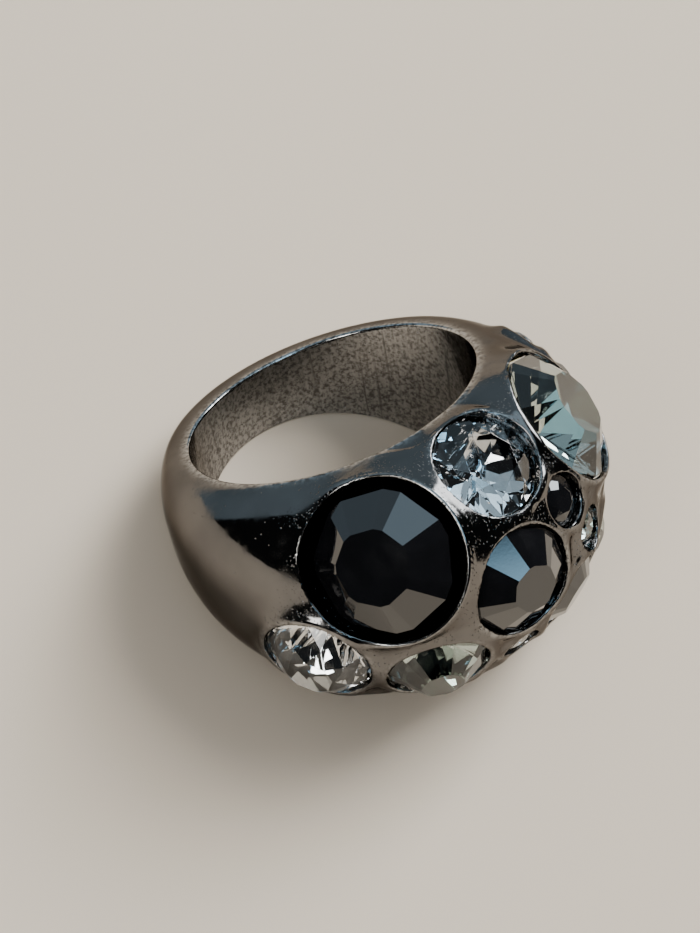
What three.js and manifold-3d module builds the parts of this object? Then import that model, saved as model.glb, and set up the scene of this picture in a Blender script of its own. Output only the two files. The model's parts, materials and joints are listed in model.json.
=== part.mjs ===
// A domed cocktail ring: one cast band that swells into a dome, with round faceted glass stones glued into
// blind cups all over it. The clear and smoky stones have a reflecting foil behind them, and jet has none.
// The ring lies on its side, as it does on a table: +Z is up, +X points to the dome and Y runs across it.
// Millimetres.
import * as THREE from 'three';
import { ParametricGeometry } from 'three/addons/geometries/ParametricGeometry.js';
import { mergeVertices } from 'three/addons/utils/BufferGeometryUtils.js';
import Module from 'manifold-3d';

// band and dome
const boreRadius = 8.65;
const halfWidthBack = 2.5;
const halfWidthDome = 8.08;
const wallBack = 2.0;
const wallDome = 7.55;
const wallRise = 2.08; // how late the wall thickens towards the dome
const sectionBack = 3.27; // squareness of the section at the back
const sectionDome = 1.89; // and at the dome
const rimPower = 2.13; // how squarely the section leaves the bore
const sideLand = 0.1; // polished off each side, which leaves a flat land round the bore

// seats and stones
const rimSag = 0.025; // drop of a rim below the dome, times its radius squared
const lipProud = 0.1;
const lipWidth = 0.3;
const lipRoot = 1.4;
const lipFlank = 0.5;
const cupClearance = 0.08;
const rimToGlass = 0.12;
const girdleHeight = 0.14;
const shallowGirdle = 0.18; // depth of a girdle below its rim, plus a little with the stone's size
const girdleSlope = 0.03;
const pavilionRatio = 0.75; // times the stone's radius, as the cuts are
const cuts = {
  broad: { table: 0.53, crown: 0.4 },
  low: { table: 0.5, crown: 0.38 },
  high: { table: 0.45, crown: 0.5, girdleDepth: 0.1 },
};

// layers under a stone, as drops below its pavilion
const foilDrop = [0.06, 0.18];
const cementDrop = [0.24, 0.44];
const bareCementDrop = [0.06, 0.44];
const wellPool = 0.72; // how far out the cement reaches where the cup is a well, times the stone's radius
const seatDrop = 0.5;

const roundSteps = 48;
const sectionSteps = 13;
const largeSides = 16;
const smallSides = 12;
const smallStone = 2;

// where the bore's centre is, with the outer box centred on the origin
const boreCentreX = -2.967;
const boreCentreY = -0.04;

const midWidth = (halfWidthDome + halfWidthBack) / 2;
const widthSlope = (halfWidthDome - halfWidthBack) / (2 * boreRadius);
const layTilt = Math.atan(widthSlope);
const boreHeight = (midWidth - sideLand) * Math.cos(layTilt);

// angle round the bore from the dome, place across the width from -1 to 1, and rim radius; some also have
// their own recess, which is the girdle's depth below the rim, a cup that widens to its rim or goes deeper as
// a well, degrees that they lean, or a depth that they are sunk
const stones = [
  {
    name: 'jet_large_upper_left', glass: 'jet', cut: 'broad', angle: -33.5, across: 0.63, rim: 4.4,
    recess: -0.2, well: 0.9, flare: 0.42, lean: -19, sink: 0.3,
  },
  { name: 'crystal_upper_centre', glass: 'crystal', cut: 'low', angle: -1, across: 0.86, rim: 3 },
  { name: 'jet_centre', glass: 'jet', cut: 'high', angle: -6.5, across: 0.19, rim: 3.15 },
  {
    name: 'smoky_large_upper_right', glass: 'smoky', cut: 'low', angle: 30.8, across: 0.68, rim: 4.15,
    recess: 0.1,
  },
  { name: 'jet_small_upper_right', glass: 'jet', cut: 'low', angle: 9.6, across: 0.45, rim: 1.5 },
  { name: 'smoky_small_right', glass: 'smoky', cut: 'low', angle: 14.9, across: 0.08, rim: 1.3 },
  { name: 'jet_lower_right', glass: 'jet', cut: 'low', angle: 9.2, across: -0.37, rim: 2.7 },
  { name: 'crystal_small_lower', glass: 'crystal', cut: 'low', angle: -6.5, across: -0.46, rim: 1.15 },
  { name: 'smoky_lower_left', glass: 'smoky', cut: 'high', angle: -25.6, across: -0.36, rim: 2.9 },
  { name: 'crystal_left', glass: 'crystal', cut: 'high', angle: -50.9, across: -0.23, rim: 3.1 },
  { name: 'crystal_small_far_right', glass: 'crystal', cut: 'high', angle: 65, across: 0.72, rim: 1.2 },
  { name: 'jet_far_right', glass: 'jet', cut: 'high', angle: 57, across: 0.37, rim: 1.9 },
  { name: 'smoky_small_far_right', glass: 'smoky', cut: 'high', angle: 36, across: -0.02, rim: 1.3 },
  { name: 'smoky_under_right', glass: 'smoky', cut: 'high', angle: 32.5, across: -0.58, rim: 2.7 },
  { name: 'crystal_under_far_right', glass: 'crystal', cut: 'high', angle: 56, across: -0.34, rim: 2.6 },
  { name: 'crystal_under_left', glass: 'crystal', cut: 'low', angle: -14, across: -0.85, rim: 2.3 },
  { name: 'jet_under_right', glass: 'jet', cut: 'low', angle: 13.5, across: -0.86, rim: 2.1 },
  { name: 'jet_under_far_left', glass: 'jet', cut: 'low', angle: -44, across: -0.83, rim: 1.8 },
  { name: 'smoky_small_under_right', glass: 'smoky', cut: 'low', angle: 45, across: -0.9, rim: 1.3 },
];

const metal = new THREE.MeshStandardMaterial({ color: 0x4a4b50, roughness: 0.14, metalness: 1 });
const foil = new THREE.MeshStandardMaterial({ color: 0xb9bcc0, roughness: 0.1, metalness: 1 });
const cement = new THREE.MeshStandardMaterial({ color: 0xc9b98a, roughness: 0.5, metalness: 0 });
const glasses = {
  jet: new THREE.MeshStandardMaterial({ color: 0x08080a, roughness: 0.05, metalness: 0 }),
  crystal: new THREE.MeshStandardMaterial({ color: 0xf2f5f7, roughness: 0.03, metalness: 0 }),
  smoky: new THREE.MeshStandardMaterial({ color: 0x5c625d, roughness: 0.03, metalness: 0 }),
};

const wasm = await Module();
wasm.setup();

function toSolid(geometry) {
  const bare = geometry.clone();
  bare.deleteAttribute('normal');
  bare.deleteAttribute('uv');
  const merged = mergeVertices(bare, 1e-5);
  return new wasm.Manifold(new wasm.Mesh({
    numProp: 3,
    vertProperties: new Float32Array(merged.attributes.position.array),
    triVerts: new Uint32Array(merged.index.array),
  }));
}

function toGeometry(solid) {
  const mesh = solid.getMesh();
  const geometry = new THREE.BufferGeometry();
  geometry.setAttribute('position', new THREE.BufferAttribute(mesh.vertProperties, 3));
  geometry.setIndex(new THREE.BufferAttribute(mesh.triVerts, 1));
  geometry.computeVertexNormals();
  return geometry;
}

// a point on the dome's skin, before its seats: angle in radians, across from -1 to 1
function skinPoint(angle, across, target = new THREE.Vector3()) {
  const rise = (1 + Math.cos(angle)) / 2;
  const wall = wallBack + (wallDome - wallBack) * rise ** wallRise;
  const section = sectionBack + (sectionDome - sectionBack) * rise;
  const fill = Math.max(0, 1 - Math.abs(across) ** section) ** (1 / rimPower);
  const radius = boreRadius + wall * fill;
  const halfWidth = midWidth + widthSlope * boreRadius * Math.cos(angle);
  return target.set(radius * Math.cos(angle), radius * Math.sin(angle), across * halfWidth);
}

// the skin closes along the bore, where the last step of the section meets the first
function bandGeometry() {
  const outerShare = (sectionSteps - 1) / sectionSteps;
  return new ParametricGeometry((s, t, target) => {
    const across = s === 1 ? -1 : -Math.cos(Math.PI * s / outerShare);
    skinPoint(-2 * Math.PI * t, across, target);
  }, sectionSteps, roundSteps);
}

// the two planes that the sides are polished to
function sideWedge() {
  const reach = boreRadius + 2 * wallDome;
  const back = -boreRadius - 2 * wallBack;
  const outline = new THREE.Shape([
    new THREE.Vector2(back, -midWidth - widthSlope * back + sideLand),
    new THREE.Vector2(reach, -midWidth - widthSlope * reach + sideLand),
    new THREE.Vector2(reach, midWidth + widthSlope * reach - sideLand),
    new THREE.Vector2(back, midWidth + widthSlope * back - sideLand),
  ]);
  const depth = 4 * reach;
  const wedge = new THREE.ExtrudeGeometry(outline, { depth, bevelEnabled: false });
  return wedge.translate(0, 0, -depth / 2).rotateX(Math.PI / 2);
}

// a stone's seat: the centre of its rim, with +Z straight out of the dome
function seatMatrix(stone) {
  const angle = THREE.MathUtils.degToRad(stone.angle);
  const step = 1e-3;
  const centre = skinPoint(angle, stone.across);
  const round = skinPoint(angle + step, stone.across).sub(skinPoint(angle - step, stone.across));
  const over = skinPoint(angle, stone.across + step).sub(skinPoint(angle, stone.across - step));
  const lean = THREE.MathUtils.degToRad(stone.lean ?? 0);
  const out = round.cross(over).normalize().applyAxisAngle(new THREE.Vector3(0, 0, 1), lean);
  const right = new THREE.Vector3(0, 0, 1).cross(out).normalize();
  const up = new THREE.Vector3().crossVectors(out, right);
  centre.addScaledVector(out, -rimSag * stone.rim ** 2 - (stone.sink ?? 0));
  return new THREE.Matrix4().makeBasis(right, up, out).setPosition(centre);
}

function sizeStone(stone) {
  const cut = cuts[stone.cut];
  const radius = stone.rim - rimToGlass - (stone.flare ?? 0);
  const girdle = stone.recess ?? cut.girdleDepth ?? shallowGirdle + girdleSlope * stone.rim;
  return {
    ...stone,
    radius,
    girdle,
    well: stone.well ?? girdle,
    crown: cut.crown * radius,
    table: cut.table * radius,
    pavilion: pavilionRatio * radius,
    sides: stone.rim < smallStone ? smallSides : largeSides,
    seat: seatMatrix(stone),
  };
}

function turned(points, sides) {
  return new THREE.LatheGeometry(points.map(([x, y]) => new THREE.Vector2(x, y)), sides).rotateX(Math.PI / 2);
}

function collarGeometry(stone) {
  const outer = stone.rim + lipWidth;
  return turned([
    [0, -lipRoot],
    [outer + lipFlank, -lipRoot],
    [outer, 0],
    [outer - lipProud, lipProud],
    [0, lipProud],
  ], stone.sides);
}

function cupGeometry(stone) {
  const wall = stone.radius + cupClearance;
  const coneTop = -stone.well - seatDrop;
  return turned([
    [0, coneTop - stone.pavilion],
    [wall, coneTop],
    [wall, -stone.well + girdleHeight],
    [stone.rim, 0],
    [stone.rim, lipRoot],
    [0, lipRoot],
  ], stone.sides);
}

function stoneGeometry(stone) {
  const { radius, girdle, pavilion, crown, table } = stone;
  return turned([
    [0, -girdle - pavilion],
    [radius, -girdle],
    [radius, -girdle + girdleHeight],
    [table, -girdle + crown],
    [0, -girdle + crown],
  ], stone.sides);
}

// a cone that lies between two drops below the pavilion, and reaches out to a share of its radius
function layerGeometry(stone, [upper, lower], share = 1) {
  const { radius, girdle, pavilion } = stone;
  const edge = -girdle - pavilion * (1 - share);
  return turned([
    [0, -girdle - lower - pavilion],
    [share * radius, edge - lower],
    [share * radius, edge - upper],
    [0, -girdle - upper - pavilion],
  ], stone.sides);
}

const sizedStones = stones.map(sizeStone);

function castingGeometry() {
  let casting = toSolid(bandGeometry()).intersect(toSolid(sideWedge()));
  for (const stone of sizedStones) {
    casting = casting.add(toSolid(collarGeometry(stone).applyMatrix4(stone.seat)));
  }
  for (const stone of sizedStones) {
    casting = casting.subtract(toSolid(cupGeometry(stone).applyMatrix4(stone.seat)));
  }
  return toGeometry(casting);
}

function addMesh(parent, name, geometry, material) {
  const mesh = new THREE.Mesh(geometry, material);
  mesh.name = name;
  parent.add(mesh);
}

const ring = new THREE.Group();
addMesh(ring, 'ring_casting', castingGeometry(), metal);

for (const stone of sizedStones) {
  const seat = new THREE.Group();
  seat.applyMatrix4(stone.seat);
  addMesh(seat, stone.name, stoneGeometry(stone), glasses[stone.glass]);
  if (stone.glass !== 'jet') {
    addMesh(seat, `${stone.name}_foil`, layerGeometry(stone, foilDrop), foil);
  }
  const [upper, lower] = stone.glass === 'jet' ? bareCementDrop : cementDrop;
  const fill = [upper, lower + stone.well - stone.girdle];
  const share = stone.well > stone.girdle ? wellPool : 1;
  addMesh(seat, `${stone.name}_cement`, layerGeometry(stone, fill, share), cement);
  ring.add(seat);
}

ring.rotation.y = -layTilt;
ring.position.set(boreCentreX, boreCentreY, boreHeight);

const group = new THREE.Group();
group.add(ring);

export default group;
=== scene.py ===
import json
import math

import bmesh
import bpy
import numpy as np
from mathutils import Matrix, Vector


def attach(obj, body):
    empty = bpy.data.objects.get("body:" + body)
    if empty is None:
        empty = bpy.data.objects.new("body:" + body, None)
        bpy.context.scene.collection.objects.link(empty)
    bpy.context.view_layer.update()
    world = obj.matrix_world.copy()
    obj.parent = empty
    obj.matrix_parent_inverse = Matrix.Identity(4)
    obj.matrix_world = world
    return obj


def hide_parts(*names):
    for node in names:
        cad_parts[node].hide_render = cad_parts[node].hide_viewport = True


# A domed cocktail ring lying on its side. Shapes are worked out in millimetres in the ring's own axes:
# X to the top of the dome, Y across it and Z along the finger bore, from the middle of the bore.
mm = 0.001

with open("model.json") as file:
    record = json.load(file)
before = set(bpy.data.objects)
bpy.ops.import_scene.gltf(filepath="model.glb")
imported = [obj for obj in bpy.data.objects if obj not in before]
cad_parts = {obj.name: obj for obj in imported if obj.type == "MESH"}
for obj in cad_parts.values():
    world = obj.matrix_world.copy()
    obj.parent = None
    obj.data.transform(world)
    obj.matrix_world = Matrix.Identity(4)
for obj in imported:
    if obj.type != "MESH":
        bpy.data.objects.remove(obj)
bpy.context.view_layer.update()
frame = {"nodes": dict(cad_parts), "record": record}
print("frame loaded,", len(frame["nodes"]), "parts")

boreMount = next(m for m in frame["record"]["mounts"] if m["name"] == "finger_bore")
boreCentre = np.array(boreMount["pos_m"])
boreAxis = np.array(boreMount["axis"]) / np.linalg.norm(boreMount["axis"])
acrossDome = np.array([0.0, 1.0, 0.0])
ringAxes = np.stack([np.cross(acrossDome, boreAxis), acrossDome, boreAxis])


def toRing(points):
    return (points - boreCentre) @ ringAxes.T / mm


def fromRing(points):
    return points @ ringAxes * mm + boreCentre


view = {
    "aim": (-1.163, -1.527, 8.0),  # mm from the middle of the ring's footprint
    "distance": 92.6,
    "azimuth": 38.11,
    "elevation": 53.48,
    "roll": 8.46,
    "lens": 61.74,
}


def towards(azimuth, elevation):
    turn, lift = math.radians(azimuth), math.radians(elevation)
    return Vector((math.sin(turn) * math.cos(lift), -math.cos(turn) * math.cos(lift), math.sin(lift)))


def standAt(spot, back):
    # back points away from what is looked at or lit
    return Matrix.Translation(spot) @ back.to_track_quat("Z", "Y").to_matrix().to_4x4()


def addCamera():
    camera = bpy.data.objects.new("camera", bpy.data.cameras.new("camera"))
    camera.data.lens = view["lens"]
    camera.data.clip_start = 1 * mm
    back = towards(view["azimuth"], view["elevation"])
    spot = (Vector(view["aim"]) + back * view["distance"]) * mm
    camera.matrix_world = standAt(spot, back) @ Matrix.Rotation(math.radians(view["roll"]), 4, "Z")
    bpy.context.scene.collection.objects.link(camera)
    bpy.context.scene.camera = camera


addCamera()


# the seats are read from the frame's stones; what a stone alone does not tell is noted here
seatDefaults = {
    "cut": "brilliant",
    "turn": 0.0,
    "recess": None,  # girdle below the rim
    "well": None,  # how deep the open part of the cup is
    "flare": 0.0,  # how much wider the rim is than the cup's wall
    "glassRadius": None,  # where the glass is not as wide as the plain stone
    "tableShift": None,
}
rimToGlass = 0.12
shallowRecess = (0.18, 0.03)  # where no recess is noted, and how much more for each mm of rim
sameFacing = 0.9999  # cosine between faces that count as one flat
slack = 0.01  # mm, where heights and radii are compared
seatNotes = {
    "jet_large_upper_left": {
        "cut": "twin", "turn": 9.7, "recess": -0.2, "well": 0.9, "flare": 0.42, "glassRadius": 3.84,
        "tableShift": (0.1, 230),  # ground a little off centre: how far in mm, and the direction
    },
    "jet_centre": {"cut": "twin", "turn": 9.1, "recess": 0.1},
    "smoky_large_upper_right": {"cut": "twin", "turn": 5.0, "recess": 0.1},
    "smoky_lower_left": {"cut": "twin", "recess": 0.1},
    "crystal_left": {"recess": 0.1},
    "crystal_small_far_right": {"recess": 0.1},
    "jet_far_right": {"cut": "twin", "recess": 0.1},
    "smoky_small_far_right": {"recess": 0.1},
    "smoky_under_right": {"cut": "twin", "recess": 0.1},
    "crystal_under_far_right": {"recess": 0.1},
    "jet_lower_right": {"cut": "twin"},
    "jet_under_right": {"cut": "twin"},
    "jet_under_far_left": {"cut": "twin"},
}


def readNode(name):
    mesh = frame["nodes"][name].data
    mesh.calc_loop_triangles()
    points = np.empty(len(mesh.vertices) * 3)
    mesh.vertices.foreach_get("co", points)
    corners = np.empty(len(mesh.loop_triangles) * 3, dtype=np.int32)
    mesh.loop_triangles.foreach_get("vertices", corners)
    return toRing(points.reshape(-1, 3)), corners.reshape(-1, 3)


def findSeat(name):
    points, faces = readNode(name)
    a, b, c = (points[faces[:, k]] for k in range(3))
    crossed = np.cross(b - a, c - a)
    area = np.linalg.norm(crossed, axis=1)
    facing = crossed / area[:, None]
    shared = (facing @ facing.T > sameFacing) @ area  # the table is the direction that most of the area faces
    table = facing @ facing[shared.argmax()] > sameFacing
    out = facing[table].mean(axis=0)
    out /= np.linalg.norm(out)
    middle = ((a + b + c)[table] / 3 * area[table, None]).sum(axis=0) / area[table].sum()
    height = (points - middle) @ out
    off = np.linalg.norm(points - middle - height[:, None] * out, axis=1)
    radius = off.max()
    atGirdle = height[off > radius - slack]
    seat = {**seatDefaults, **seatNotes.get(name, {})}
    rim = radius + rimToGlass + seat["flare"]
    if seat["recess"] is None:
        seat["recess"] = shallowRecess[0] + shallowRecess[1] * rim
    right = np.cross([0.0, 0.0, 1.0], out)
    right /= np.linalg.norm(right)
    centre = middle + out * (atGirdle.min() + seat["recess"])
    seat["well"] = seat["well"] or seat["recess"]
    seat["glassRadius"] = seat["glassRadius"] or radius
    return {
        **seat,
        "name": name,
        "glass": name.split("_")[0],
        "radius": radius,
        "rim": rim,
        "table": off[height > -slack].max(),
        "crown": -atGirdle.max(),
        "girdle": atGirdle.max() - atGirdle.min(),
        "pavilion": atGirdle.min() - height.min(),
        "centre": centre,
        "axes": np.stack([right, np.cross(out, right), out]),
    }


stoneNames = sorted(n for n in frame["nodes"] if n != "ring_casting" and not n.endswith(("_foil", "_cement")))
seats = [findSeat(name) for name in stoneNames]
print("seats found,", len(seats))


def newMaterial(name):
    material = bpy.data.materials.new(name)
    material.use_nodes = True
    material.node_tree.nodes.clear()
    out = material.node_tree.nodes.new("ShaderNodeOutputMaterial")
    shader = material.node_tree.nodes.new("ShaderNodeBsdfPrincipled")
    material.node_tree.links.new(shader.outputs[0], out.inputs[0])
    return material, material.node_tree, shader


def setInput(tree, socket, value):
    if isinstance(value, bpy.types.NodeSocket):
        tree.links.new(value, socket)
    else:
        socket.default_value = value


def add(tree, kind, settings=None, **inputs):
    node = tree.nodes.new("ShaderNode" + kind)
    for key, value in (settings or {}).items():
        setattr(node, key, value)
    for key, value in inputs.items():
        setInput(tree, node.inputs[key.replace("_", " ")], value)
    return node


def maths(tree, operation, a, b=0.0):
    node = tree.nodes.new("ShaderNodeMath")
    node.operation = operation
    setInput(tree, node.inputs[0], a)
    setInput(tree, node.inputs[1], b)
    return node.outputs[0]


def ramp(tree, value, low, high, start=0.0, end=1.0):
    node = tree.nodes.new("ShaderNodeMapRange")
    node.interpolation_type = "SMOOTHSTEP"
    for socket, number in zip(node.inputs[:5], (value, low, high, start, end)):
        setInput(tree, socket, number)
    return node.outputs[0]


def blendColours(tree, factor, a, b):
    node = tree.nodes.new("ShaderNodeMix")
    node.data_type = "RGBA"
    setInput(tree, node.inputs[0], factor)
    setInput(tree, node.inputs[6], a)
    setInput(tree, node.inputs[7], b)
    return node.outputs[2]


def noise(tree, spot, perMm, detail=2.0, roughness=0.5):
    return add(tree, "TexNoise", Vector=spot, Scale=perMm / mm, Detail=detail, Roughness=roughness).outputs[0]


def bump(tree, height, strength, distance, **more):
    return add(tree, "Bump", Height=height, Strength=strength, Distance=distance * mm, **more).outputs[0]


def place(tree):
    return add(tree, "TexCoord").outputs["Object"]


band = {
    "boreRadius": 8.65,
    "halfWidth": (2.5, 8.08),  # back, dome
    "wall": (2.0, 7.55),
    "wallRise": 2.08,
    "section": (3.27, 1.89),  # how square the section is across, back and dome
    "rimPower": 2.13,
    "sideLand": 0.1,
    "boreEdge": 0.22,  # how softly the bore runs out into the sides
    "sideEdge": 0.3,
    "probe": 0.02,  # how far to each side the skin is sampled for its slope
    "leastSteep": 0.05,
}
lip = {
    "width": 0.28,
    "radius": 0.13,
    "flank": 0.36,  # widening for each mm down
    "depth": 1.6,
    "blend": 0.9,  # how softly a collar grows out of the skin
    "crestEdge": 0.2,
    "beadDrop": 0.03,
    "beadBlend": 0.08,
}
cup = {
    "edge": 0.06,
    "foot": 0.1,
    "glassGap": 0.04,
    "drop": 0.62,  # room for the cement below the stone
}
around = {"side": 1.6, "below": 1.0, "foot": 0.5}  # how far past a seat its lip and cup are still worked out
# the casting is netted on a grid, thinned to so many faces and pushed back onto its shape
net = {"grid": 0.125, "border": 0.5, "faces": 190000, "leastSteep": 0.2, "longestPush": 0.1}


def softMin(a, b, reach):
    near = np.clip(0.5 + 0.5 * (b - a) / reach, 0, 1)
    return b + (a - b) * near - reach * near * (1 - near)


def softMax(a, b, reach):
    return -softMin(-a, -b, reach)


def skinLevel(points):
    x, y, z = points.T
    out = np.hypot(x, y) + 1e-9
    rise = (1 + x / out) / 2
    wall = band["wall"][0] + (band["wall"][1] - band["wall"][0]) * rise ** band["wallRise"]
    section = band["section"][0] + (band["section"][1] - band["section"][0]) * rise
    halfWidth = band["halfWidth"][0] + (band["halfWidth"][1] - band["halfWidth"][0]) * rise
    across = np.abs(z) / halfWidth
    lift = np.maximum(out - band["boreRadius"], 0) / wall
    return lift ** band["rimPower"] + across ** section - 1


def slopes(field, points, step=1e-3):
    found = np.empty_like(points)
    for k in range(3):
        shift = np.zeros(3)
        shift[k] = step
        found[:, k] = (field(points + shift) - field(points - shift)) / (2 * step)
    return found


def skinDistance(points):
    steep = np.linalg.norm(slopes(skinLevel, points, band["probe"]), axis=1)
    return skinLevel(points) / np.maximum(steep, band["leastSteep"])


sideLean = (band["halfWidth"][1] - band["halfWidth"][0]) / (2 * band["boreRadius"])


def pastSide(x, z):
    # the two sides are flat and lean apart towards the dome
    return np.abs(z) - sum(band["halfWidth"]) / 2 - sideLean * x + band["sideLand"]


def seatSection(seat, points):
    local = (points - seat["centre"]) @ seat["axes"].T
    return np.hypot(local[:, 0], local[:, 1]), local[:, 2]


def collarDistance(seat, off, height):
    edge = seat["rim"] + lip["width"]
    flank = (off - edge + lip["flank"] * height) / math.hypot(1, lip["flank"])
    body = np.maximum(softMax(flank, height, lip["crestEdge"]), -height - lip["depth"])
    bead = np.hypot(off - seat["rim"] - lip["radius"], height + lip["beadDrop"]) - lip["radius"]
    return softMin(body, bead, lip["beadBlend"])


def cupDistance(seat, off, height):
    wall = seat["radius"] + cup["glassGap"]
    flare = (seat["rim"] - wall) / seat["well"]
    side = (off - seat["rim"] - flare * height) / math.hypot(1, flare)
    side = np.minimum(side, off - wall)
    side = np.maximum(side, off - seat["rim"])
    floorSlope = seat["pavilion"] / wall
    floorLevel = seat["well"] + cup["drop"]
    floor = (-height - floorLevel - seat["pavilion"] + floorSlope * off) / math.hypot(1, floorSlope)
    return softMax(side, floor, cup["foot"])


def castDistance(points):
    distance = skinDistance(points)
    nearby = []
    for seat in seats:
        reach = math.hypot(seat["rim"] + around["side"], lip["depth"] + around["below"]) + lip["blend"]
        reach = max(reach, seat["well"] + cup["drop"] + seat["pavilion"] + around["foot"])
        near = np.nonzero(np.linalg.norm(points - seat["centre"], axis=1) < reach)[0]
        nearby.append(near)
        if len(near):
            collar = collarDistance(seat, *seatSection(seat, points[near]))
            distance[near] = softMin(distance[near], collar, lip["blend"])
    x, y, z = points.T
    distance = softMax(distance, pastSide(x, z) / math.hypot(1, sideLean), band["sideEdge"])
    distance = softMax(distance, band["boreRadius"] - np.hypot(x, y), band["boreEdge"])
    for seat, near in zip(seats, nearby):
        if len(near):
            hollow = cupDistance(seat, *seatSection(seat, points[near]))
            distance[near] = softMax(distance[near], -hollow, cup["edge"])
    return distance


def netOf(field, low, high, step):
    # one point in each grid cell that the surface passes through, joined across the edges that it cuts
    axes = [np.arange(a, b + step, step) for a, b in zip(low, high)]
    values = np.empty([len(a) for a in axes], dtype=np.float32)
    for i, x in enumerate(axes[0]):
        sheet = np.stack(np.meshgrid([x], axes[1], axes[2], indexing="ij"), axis=-1).reshape(-1, 3)
        values[i] = field(sheet).reshape(values.shape[1:])
    inside = values < 0
    corners = [(i, j, k) for i in (0, 1) for j in (0, 1) for k in (0, 1)]
    size = np.array(values.shape) - 1

    def shifted(block, by):
        return block[tuple(slice(s, s + n) for s, n in zip(by, size))]

    count = sum(shifted(inside, c).astype(np.int8) for c in corners)
    cells = np.argwhere((count > 0) & (count < 8))
    index = np.full(size, -1, dtype=np.int32)
    index[tuple(cells.T)] = np.arange(len(cells))
    total = np.zeros((len(cells), 3))
    crossings = np.zeros(len(cells))
    for a in corners:
        for b in corners:
            if sum(b) != sum(a) + 1 or sum(abs(p - q) for p, q in zip(a, b)) != 1:
                continue
            start = values[tuple((cells + a).T)]
            end = values[tuple((cells + b).T)]
            cut = (start < 0) != (end < 0)
            share = np.where(cut, start / np.where(cut, start - end, 1), 0)
            total += cut[:, None] * (np.array(a) + share[:, None] * (np.array(b) - np.array(a)))
            crossings += cut
    points = (cells + total / crossings[:, None]) * step + np.array([a[0] for a in axes])
    quads = []
    for axis in range(3):
        along = np.zeros(3, dtype=int)
        along[axis] = 1
        u, v = (axis + 1) % 3, (axis + 2) % 3
        lower = inside[tuple(slice(0, n - a) for n, a in zip(inside.shape, along))]
        upper = inside[tuple(slice(a, n) for n, a in zip(inside.shape, along))]
        edges = np.argwhere(lower != upper)
        edges = edges[(edges[:, u] > 0) & (edges[:, v] > 0)]
        edges = edges[(edges[:, u] < size[u]) & (edges[:, v] < size[v])]
        ring = []
        for du, dv in ((1, 1), (0, 1), (0, 0), (1, 0)):
            cell = edges.copy()
            cell[:, u] -= du
            cell[:, v] -= dv
            ring.append(index[tuple(cell.T)])
        ring = np.stack(ring, axis=1)
        outward = inside[tuple(edges.T)]
        ring[~outward] = ring[~outward][:, ::-1]
        quads.append(ring)
    return points, np.concatenate(quads)


def settle(field, points, rounds):
    for _ in range(rounds):
        slope = slopes(field, points)
        push = field(points) / np.maximum((slope ** 2).sum(axis=1), net["leastSteep"])
        push = np.clip(push, -net["longestPush"], net["longestPush"])
        points = points - slope * push[:, None]
    return points


def meshObject(name, points, faces):
    mesh = bpy.data.meshes.new(name)
    mesh.from_pydata(points.tolist(), [], faces.tolist())
    piece = bpy.data.objects.new(name, mesh)
    bpy.context.scene.collection.objects.link(piece)
    return piece


wearAndSheen = {"lipReach": 0.16, "nearReach": 0.9, "edgeReach": 0.42}  # how far each kind of wear and painted highlight spreads


def wearAndSheenAt(points):
    # how close each point is to a lip's crest, to any lip, and to the edge where the bore meets a side
    x, y, z = points.T
    crest = np.zeros(len(points))
    near = np.zeros(len(points))
    for seat in seats:
        off, height = seatSection(seat, points)
        gap = np.hypot(off - seat["rim"] - lip["radius"], height - lip["radius"])
        crest = np.maximum(crest, np.exp(-((gap / wearAndSheen["lipReach"]) ** 2)))
        near = np.maximum(near, np.exp(-((gap / wearAndSheen["nearReach"]) ** 2)))
    edge = np.hypot(pastSide(x, z), np.hypot(x, y) - band["boreRadius"]) / wearAndSheen["edgeReach"]
    return {"lipCrest": crest, "nearLip": near, "boreEdge": np.exp(-(edge ** 2))}


def makeBand():
    points = readNode("ring_casting")[0]
    low = points.min(axis=0) - net["border"]
    high = points.max(axis=0) + net["border"]
    grid = net["grid"] * 1
    points, quads = netOf(castDistance, low, high, grid)
    points = settle(castDistance, points, 1)
    piece = meshObject("polished_band", points, quads)
    count = len(quads) * 2
    print("band net,", count, "triangles")
    if count > net["faces"]:
        thin = piece.modifiers.new("thin", "DECIMATE")
        thin.ratio = net["faces"] / count
        bpy.context.view_layer.objects.active = piece
        piece.select_set(True)
        bpy.ops.object.modifier_apply(modifier=thin.name)
    mesh = piece.data
    points = np.empty(len(mesh.vertices) * 3)
    mesh.vertices.foreach_get("co", points)
    points = settle(castDistance, points.reshape(-1, 3), 2)
    slope = slopes(castDistance, points)
    normals = slope / np.maximum(np.linalg.norm(slope, axis=1), 1e-6)[:, None]
    mesh.vertices.foreach_set("co", fromRing(points).ravel())
    mesh.polygons.foreach_set("use_smooth", np.ones(len(mesh.polygons), dtype=bool))
    mesh.update()
    mesh.normals_split_custom_set_from_vertices((normals @ ringAxes).tolist())
    for name, values in wearAndSheenAt(points).items():
        mesh.attributes.new(name, "FLOAT", "POINT").data.foreach_set("value", values.astype(np.float32))
    return piece


plating = {
    "deep": (0.14, 0.135, 0.133, 1),
    "paler": (0.185, 0.177, 0.172, 1),
    "wornSheen": (0.6, 0.6, 0.6, 1),  # the alloy under the plating; this paler metal is part wear and part painted highlight
    "glancing": (0.42, 0.4, 0.38, 1),  # the plating stays dark at a glancing view
}


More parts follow.
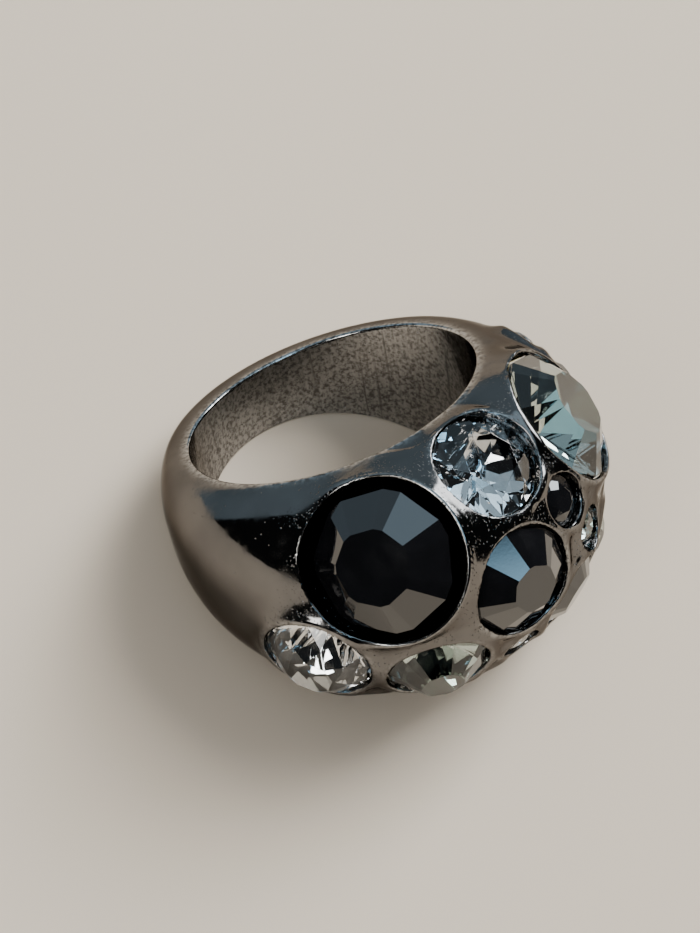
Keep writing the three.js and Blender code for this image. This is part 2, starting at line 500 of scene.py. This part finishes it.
def gunmetal():
    material, tree, shader = newMaterial("gunmetal plate")
    spot = place(tree)
    crest, near, edge = (
        add(tree, "Attribute", {"attribute_name": name}).outputs["Fac"]
        for name in ("lipCrest", "nearLip", "boreEdge")
    )
    broad = noise(tree, spot, 0.25, 3)
    cloud = noise(tree, spot, 0.7, 4, 0.6)
    fine = noise(tree, spot, 4.0, 4, 0.65)
    grain = noise(tree, spot, 14.0, 2, 0.6)
    # dark plating, a little paler in broad clouds, rubbed through at the bore's edges and half so on the
    # lips; the paler metal there is part wear and part painted highlight
    base = blendColours(tree, ramp(tree, broad, 0.3, 0.7), plating["deep"], plating["paler"])
    wornSheenPlaces = maths(tree, "MAXIMUM", maths(tree, "MULTIPLY", crest, 0.5), edge)
    wornSheen = maths(tree, "MULTIPLY", wornSheenPlaces, ramp(tree, fine, 0.36, 0.6))
    base = blendColours(tree, wornSheen, base, plating["wornSheen"])
    setInput(tree, shader.inputs["Base Color"], base)
    dull = ramp(tree, cloud, 0.42, 0.66, 0.07, 0.19)
    scuffed = maths(tree, "MULTIPLY", ramp(tree, fine, 0.5, 0.75), ramp(tree, cloud, 0.5, 0.7, 0.01, 0.05))
    setInput(tree, shader.inputs["Roughness"], maths(tree, "ADD", dull, scuffed))
    shader.inputs["Metallic"].default_value = 1.0
    shader.inputs["Specular Tint"].default_value = plating["glancing"]
    # cast skin under the polish: a soft ripple, fine grain by the lips and scattered pits
    ripple = noise(tree, spot, 0.9, 2)
    pits = add(tree, "TexVoronoi", Vector=spot, Scale=2.6 / mm).outputs["Distance"]
    specks = add(tree, "TexVoronoi", Vector=spot, Scale=6.5 / mm).outputs["Distance"]
    patch = ramp(tree, noise(tree, spot, 0.5, 2), 0.48, 0.6)
    speckPatch = maths(tree, "MULTIPLY", near, ramp(tree, noise(tree, spot, 1.1, 2), 0.4, 0.54))
    bigPits = maths(tree, "MULTIPLY", ramp(tree, pits, 0.0, 0.15, 1, 0), patch)
    smallPits = maths(tree, "MULTIPLY", ramp(tree, specks, 0.0, 0.3, 1, 0), speckPatch)
    grainHeight = maths(tree, "MULTIPLY", grain, maths(tree, "MULTIPLY", near, ramp(tree, cloud, 0.4, 0.65)))
    soft = bump(tree, ripple, 0.3, 0.03)
    sandy = bump(tree, grainHeight, 0.35, 0.006, Normal=soft)
    pitDepth = maths(tree, "ADD", bigPits, smallPits)
    pitted = bump(tree, pitDepth, 0.9, 0.045, settings={"invert": True}, Normal=sandy)
    setInput(tree, shader.inputs["Normal"], pitted)
    return material


def polar(radius, turn, height):
    angle = math.radians(turn)
    return Vector((radius * math.cos(angle), radius * math.sin(angle), height))


def through(a, b, c):
    # the flat through three points, facing away from the stone's middle
    normal = (b - a).cross(c - a).normalized()
    if normal.dot(a) < 0:
        normal.negate()
    return a, normal


def conePlane(inner, innerHeight, outer, outerHeight, turn, shift=None):
    # the flat that leans from one ring to another, square to the direction of turn
    a = polar(inner, turn, innerHeight)
    if shift:
        a += polar(shift[0], shift[1], 0)
    b = polar(outer, turn, outerHeight)
    return through(b, a, b + polar(1, turn + 90, 0))


grinding = {
    "uneven": 0.09,  # how much shallower a back facet may be, times the radius
    "spread": (2.4, 10),  # keeps neighbouring facets and stones from matching
    "softEdge": 0.012,
    "backGap": 0.02,
    "segments": 64,
    "weld": 1e-5,
    "flat": 0.3,  # degrees between faces that are joined into one facet
}
brilliant = {
    "count": 8,
    "tableWiden": 1.04,  # against the plain stone's table
    "star": 0.5,  # how far down the crown the star facets reach
    "ridge": 0.16,  # how far from the point the lower back facets meet, times the radius
}
twin = {"count": 7, "wide": 18.5}  # facets of two widths by turns; half the angle that a wide one takes


def backHeight(seat, bottom, order):
    perFacet, perMm = grinding["spread"]
    share = 0.5 + 0.5 * math.sin(perFacet * order + perMm * seat["radius"])
    return bottom + grinding["uneven"] * seat["radius"] * share


def brilliantFacets(seat, top, upper, lower, bottom):
    radius, table = seat["radius"], seat["table"] * brilliant["tableWiden"]
    step = 360 / brilliant["count"]
    half = math.cos(math.radians(step / 2))
    star = table + brilliant["star"] * (radius - table)
    starHeight = top - (star * half - table) * (top - upper) / (radius - table)
    ridge = brilliant["ridge"] * radius
    footHeight = bottom + ridge * half * (lower - bottom) / radius
    facets = []
    for k in range(brilliant["count"]):
        turn = step * k + seat["turn"]
        middle = turn + step / 2
        facets.append(conePlane(table, top, radius, upper, turn))
        tip = polar(star, middle, starHeight)
        facets.append(through(polar(table, turn, top), polar(table, turn + step, top), tip))
        for side in (0, step):
            corner = polar(radius, turn + side, upper)
            facets.append(through(corner, polar(radius, middle, upper), tip))
        facets.append(conePlane(0, backHeight(seat, bottom, k), radius, lower, turn))
        foot = polar(ridge, middle, footHeight)
        for side in (0, step):
            corner = polar(radius, turn + side, lower)
            facets.append(through(corner, polar(radius, middle, lower), foot))
    return facets


def twinFacets(seat, top, upper, lower, bottom):
    step = 360 / twin["count"]
    facets = []
    for k in range(twin["count"]):
        for offset, half in ((0, twin["wide"]), (step / 2, step / 2 - twin["wide"])):
            reach = math.cos(math.radians(half))
            turn = k * step + offset + seat["turn"]
            edge = seat["glassRadius"] * reach
            facets.append(conePlane(seat["table"] * reach, top, edge, upper, turn, seat["tableShift"]))
            facets.append((polar(edge, turn, upper), polar(1, turn, 0)))
            facets.append(conePlane(0, backHeight(seat, bottom, 2 * k + half), edge, lower, turn))
    return facets


cuts = {"brilliant": brilliantFacets, "twin": twinFacets}


def grind(outline, top, bottom, facets):
    mesh = bmesh.new()
    bmesh.ops.create_cone(
        mesh, cap_ends=True, segments=grinding["segments"], radius1=outline, radius2=outline,
        depth=top - bottom, matrix=Matrix.Translation((0, 0, (top + bottom) / 2)),
    )
    for point, normal in facets:
        cut = bmesh.ops.bisect_plane(
            mesh, geom=mesh.verts[:] + mesh.edges[:] + mesh.faces[:], dist=grinding["weld"],
            plane_co=point, plane_no=normal, clear_outer=True,
        )
        edges = [e for e in cut["geom_cut"] if isinstance(e, bmesh.types.BMEdge)]
        if edges:
            bmesh.ops.contextual_create(mesh, geom=edges)
    flat = math.radians(grinding["flat"])
    bmesh.ops.dissolve_limit(mesh, angle_limit=flat, verts=mesh.verts[:], edges=mesh.edges[:])
    return mesh


def placeInSeat(mesh, seat):
    turn = Matrix(seat["axes"].T.tolist()).to_4x4()
    mesh.transform(Matrix.Translation(Vector(seat["centre"])) @ turn)
    toFrame = Matrix((ringAxes.T * mm).tolist()).to_4x4()
    mesh.transform(Matrix.Translation(Vector(boreCentre)) @ toFrame)


def finishPiece(name, mesh, material, node):
    data = bpy.data.meshes.new(name)
    mesh.to_mesh(data)
    mesh.free()
    piece = bpy.data.objects.new(name, data)
    bpy.context.scene.collection.objects.link(piece)
    data.materials.append(material)
    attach(piece, "root")
    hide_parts(node)


def makeStone(seat, material):
    lower = -seat["recess"]
    upper = lower + seat["girdle"]
    top = upper + seat["crown"]
    bottom = lower - seat["pavilion"] + grinding["backGap"]
    facets = cuts[seat["cut"]](seat, top, upper, lower, bottom)
    mesh = grind(seat["glassRadius"], top, bottom, facets)
    bmesh.ops.bevel(
        mesh, geom=mesh.edges[:], offset=grinding["softEdge"], segments=1, affect="EDGES", clamp_overlap=True,
    )
    placeInSeat(mesh, seat)
    finishPiece(seat["name"] + "_cut", mesh, material, seat["name"])


foil = {
    "gap": 0.015,
    "thick": 0.03,
    "wider": 0.03,
    "belowGirdle": 0.02,
    "spare": 1.0,  # extra depth of the blank, which the back facets cut away
}


def makeFoil(seat, material):
    lower = -seat["recess"]
    bottom = lower - seat["pavilion"]
    crown = (lower + 2, lower + 1)  # any crown will do, as only the facets that face down are kept
    facets = [f for f in cuts[seat["cut"]](seat, *crown, lower, bottom) if f[1].z < -0.01]
    outer = [(point + normal * (foil["gap"] + foil["thick"]), normal) for point, normal in facets]
    inner = [(point + normal * foil["gap"], normal) for point, normal in facets]
    shell, core = (
        grind(seat["radius"] + foil["wider"], lower - foil["belowGirdle"], bottom - foil["spare"], planes)
        for planes in (outer, inner)
    )
    # the lids are dropped and the two rims bridged, which leaves a thin open cup
    for mesh in (shell, core):
        lids = [f for f in mesh.faces if f.normal.z > 0.9]
        bmesh.ops.delete(mesh, geom=lids, context="FACES_ONLY")
    bmesh.ops.reverse_faces(core, faces=core.faces[:])
    data = bpy.data.meshes.new("core")
    core.to_mesh(data)
    core.free()
    shell.from_mesh(data)
    bpy.data.meshes.remove(data)
    rims = [e for e in shell.edges if e.is_boundary]
    bmesh.ops.bridge_loops(shell, edges=rims)
    bmesh.ops.recalc_face_normals(shell, faces=shell.faces[:])
    placeInSeat(shell, seat)
    finishPiece(seat["name"] + "_silvering", shell, material, seat["name"] + "_foil")


def jetGlass():
    material, tree, shader = newMaterial("jet glass")
    spot = place(tree)
    smear = noise(tree, spot, 0.6, 4, 0.6)
    colour = blendColours(tree, smear, (0.002, 0.002, 0.0025, 1), (0.006, 0.006, 0.007, 1))
    setInput(tree, shader.inputs["Base Color"], colour)
    setInput(tree, shader.inputs["Roughness"], ramp(tree, smear, 0.4, 0.75, 0.02, 0.07))
    shader.inputs["IOR"].default_value = 1.85
    setInput(tree, shader.inputs["Normal"], bump(tree, noise(tree, spot, 6, 3), 0.04, 0.01))
    return material


def clearGlass(name, tint, paler):
    material, tree, shader = newMaterial(name)
    smear = noise(tree, place(tree), 0.5, 3)
    setInput(tree, shader.inputs["Base Color"], blendColours(tree, smear, tint, paler))
    setInput(tree, shader.inputs["Roughness"], ramp(tree, smear, 0.45, 0.8, 0.0, 0.03))
    shader.inputs["Transmission Weight"].default_value = 1.0
    shader.inputs["IOR"].default_value = 1.6
    return material


def silvering():
    material, tree, shader = newMaterial("silvering")
    cloud = noise(tree, place(tree), 0.8, 3)
    colour = blendColours(tree, cloud, (0.78, 0.79, 0.8, 1), (0.9, 0.9, 0.9, 1))
    setInput(tree, shader.inputs["Base Color"], colour)
    setInput(tree, shader.inputs["Roughness"], ramp(tree, cloud, 0.4, 0.8, 0.01, 0.06))
    shader.inputs["Metallic"].default_value = 1.0
    return material


def epoxy(name, deep, paler):
    material, tree, shader = newMaterial(name)
    cloud = noise(tree, place(tree), 0.9, 4)
    setInput(tree, shader.inputs["Base Color"], blendColours(tree, cloud, deep, paler))
    setInput(tree, shader.inputs["Roughness"], ramp(tree, cloud, 0.3, 0.8, 0.3, 0.5))
    setInput(tree, shader.inputs["Normal"], bump(tree, cloud, 0.3, 0.05))
    return material


glasses = {
    "jet": jetGlass(),
    "crystal": clearGlass("crystal glass", (0.93, 0.95, 0.96, 1), (0.98, 0.98, 0.98, 1)),
    "smoky": clearGlass("smoky glass", (0.5, 0.58, 0.54, 1), (0.58, 0.65, 0.6, 1)),
}
silver = silvering()
cements = {
    # the cement under the jet stones is painted black, as painted shade deep in their wells
    "jet": epoxy("epoxy painted as shade", (0.012, 0.011, 0.01, 1), (0.03, 0.027, 0.022, 1)),
    "crystal": epoxy("cured epoxy", (0.55, 0.47, 0.25, 1), (0.68, 0.6, 0.4, 1)),
}
cements["smoky"] = cements["crystal"]
metal = gunmetal()

polishedBand = makeBand()
polishedBand.data.materials.append(metal)
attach(polishedBand, "root")
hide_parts("ring_casting")
print("band cast and polished,", len(polishedBand.data.polygons), "faces")

for seat in seats:
    makeStone(seat, glasses[seat["glass"]])
    if seat["glass"] != "jet":
        makeFoil(seat, silver)
    drop = frame["nodes"][seat["name"] + "_cement"]
    drop.data.materials.clear()
    drop.data.materials.append(cements[seat["glass"]])
print("stones cut and set,", len(seats))


floorPlan = {"half": 600, "deep": (0.64, 0.56, 0.46, 1), "paler": (0.7, 0.62, 0.52, 1), "roughness": 0.7}


def addFloor():
    mesh = bpy.data.meshes.new("floor")
    half = floorPlan["half"] * mm
    corners = [(-half, -half, 0), (half, -half, 0), (half, half, 0), (-half, half, 0)]
    mesh.from_pydata(corners, [], [(0, 1, 2, 3)])
    floor = bpy.data.objects.new("floor", mesh)
    bpy.context.scene.collection.objects.link(floor)
    material, tree, shader = newMaterial("pale floor")
    cloud = noise(tree, place(tree), 0.01, 2)
    colour = blendColours(tree, cloud, floorPlan["deep"], floorPlan["paler"])
    setInput(tree, shader.inputs["Base Color"], colour)
    shader.inputs["Roughness"].default_value = floorPlan["roughness"]
    mesh.materials.append(material)


room = {
    "dark": (0.012, 0.013, 0.014, 1),
    "wall": (0.3, 0.4, 0.47, 1),
    "wallEdge": -57,  # the wall runs from here round to the left and the back
    "ceiling": (0.95, 1.3, 1.55, 1),
    "ceilingEdge": 70,
    "window": {"azimuth": 176, "elevation": 38, "width": 17, "height": 11, "colour": (11, 11.6, 12, 1)},
    "lamp": {"azimuth": 5, "elevation": 35, "width": 8, "height": 10, "colour": (12, 12, 11.6, 1)},
    "panel": {"azimuth": 62, "elevation": 58, "width": 14, "height": 8, "colour": (2.1, 3.9, 5.3, 1)},
    "backdrop": (0.5, 0.47, 0.43, 1),
    "ambient": (0.44, 0.425, 0.4, 1),  # even bounced light
    "soft": 1.5,  # degrees over which an edge fades
}
softLamp = {
    "azimuth": 172,
    "elevation": 48,
    "distance": 700,
    "size": 420,
    "power": 6.5,
    "colour": (1, 0.98, 0.94),
}


def addWorld():
    world = bpy.data.worlds.new("room")
    bpy.context.scene.world = world
    world.use_nodes = True
    tree = world.node_tree
    away = add(tree, "SeparateXYZ", Vector=add(tree, "TexCoord").outputs["Generated"])
    azimuth = maths(tree, "ARCTAN2", away.outputs[0], maths(tree, "MULTIPLY", away.outputs[1], -1.0))
    up = away.outputs[2]
    soft = math.radians(room["soft"])
    edge = math.radians(room["wallEdge"])
    wall = ramp(tree, azimuth, edge - soft, edge + soft, 1, 0)
    colour = blendColours(tree, wall, room["dark"], room["wall"])
    for name in ("window", "lamp", "panel"):
        patch = room[name]
        turned = maths(tree, "COSINE", maths(tree, "SUBTRACT", azimuth, math.radians(patch["azimuth"])))
        width, height = math.radians(patch["width"]), math.radians(patch["height"])
        level = math.radians(patch["elevation"])
        across = ramp(tree, turned, math.cos(width + soft), math.cos(width - soft))
        bottom = ramp(tree, up, math.sin(level - height - soft), math.sin(level - height + soft))
        top = ramp(tree, up, math.sin(level + height - soft), math.sin(level + height + soft), 1, 0)
        inside = maths(tree, "MULTIPLY", maths(tree, "MULTIPLY", across, bottom), top)
        colour = blendColours(tree, inside, colour, patch["colour"])
    ceiling = math.radians(room["ceilingEdge"])
    overhead = ramp(tree, up, math.sin(ceiling - 3 * soft), math.sin(ceiling + 3 * soft))
    colour = blendColours(tree, overhead, colour, room["ceiling"])
    path = add(tree, "LightPath")
    colour = blendColours(tree, path.outputs["Is Diffuse Ray"], colour, room["ambient"])
    colour = blendColours(tree, path.outputs["Is Camera Ray"], colour, room["backdrop"])
    setInput(tree, tree.nodes["Background"].inputs["Color"], colour)


def addLamp():
    light = bpy.data.lights.new("soft lamp", "AREA")
    light.size = softLamp["size"] * mm
    light.energy = softLamp["power"]
    light.color = softLamp["colour"]
    lamp = bpy.data.objects.new("soft lamp", light)
    back = towards(softLamp["azimuth"], softLamp["elevation"])
    lamp.matrix_world = standAt(back * softLamp["distance"] * mm, back)
    lamp.visible_glossy = False  # it only softens the shadows
    lamp.visible_transmission = False
    bpy.context.scene.collection.objects.link(lamp)


addFloor()
addWorld()
addLamp()
print("floor and lights in place")
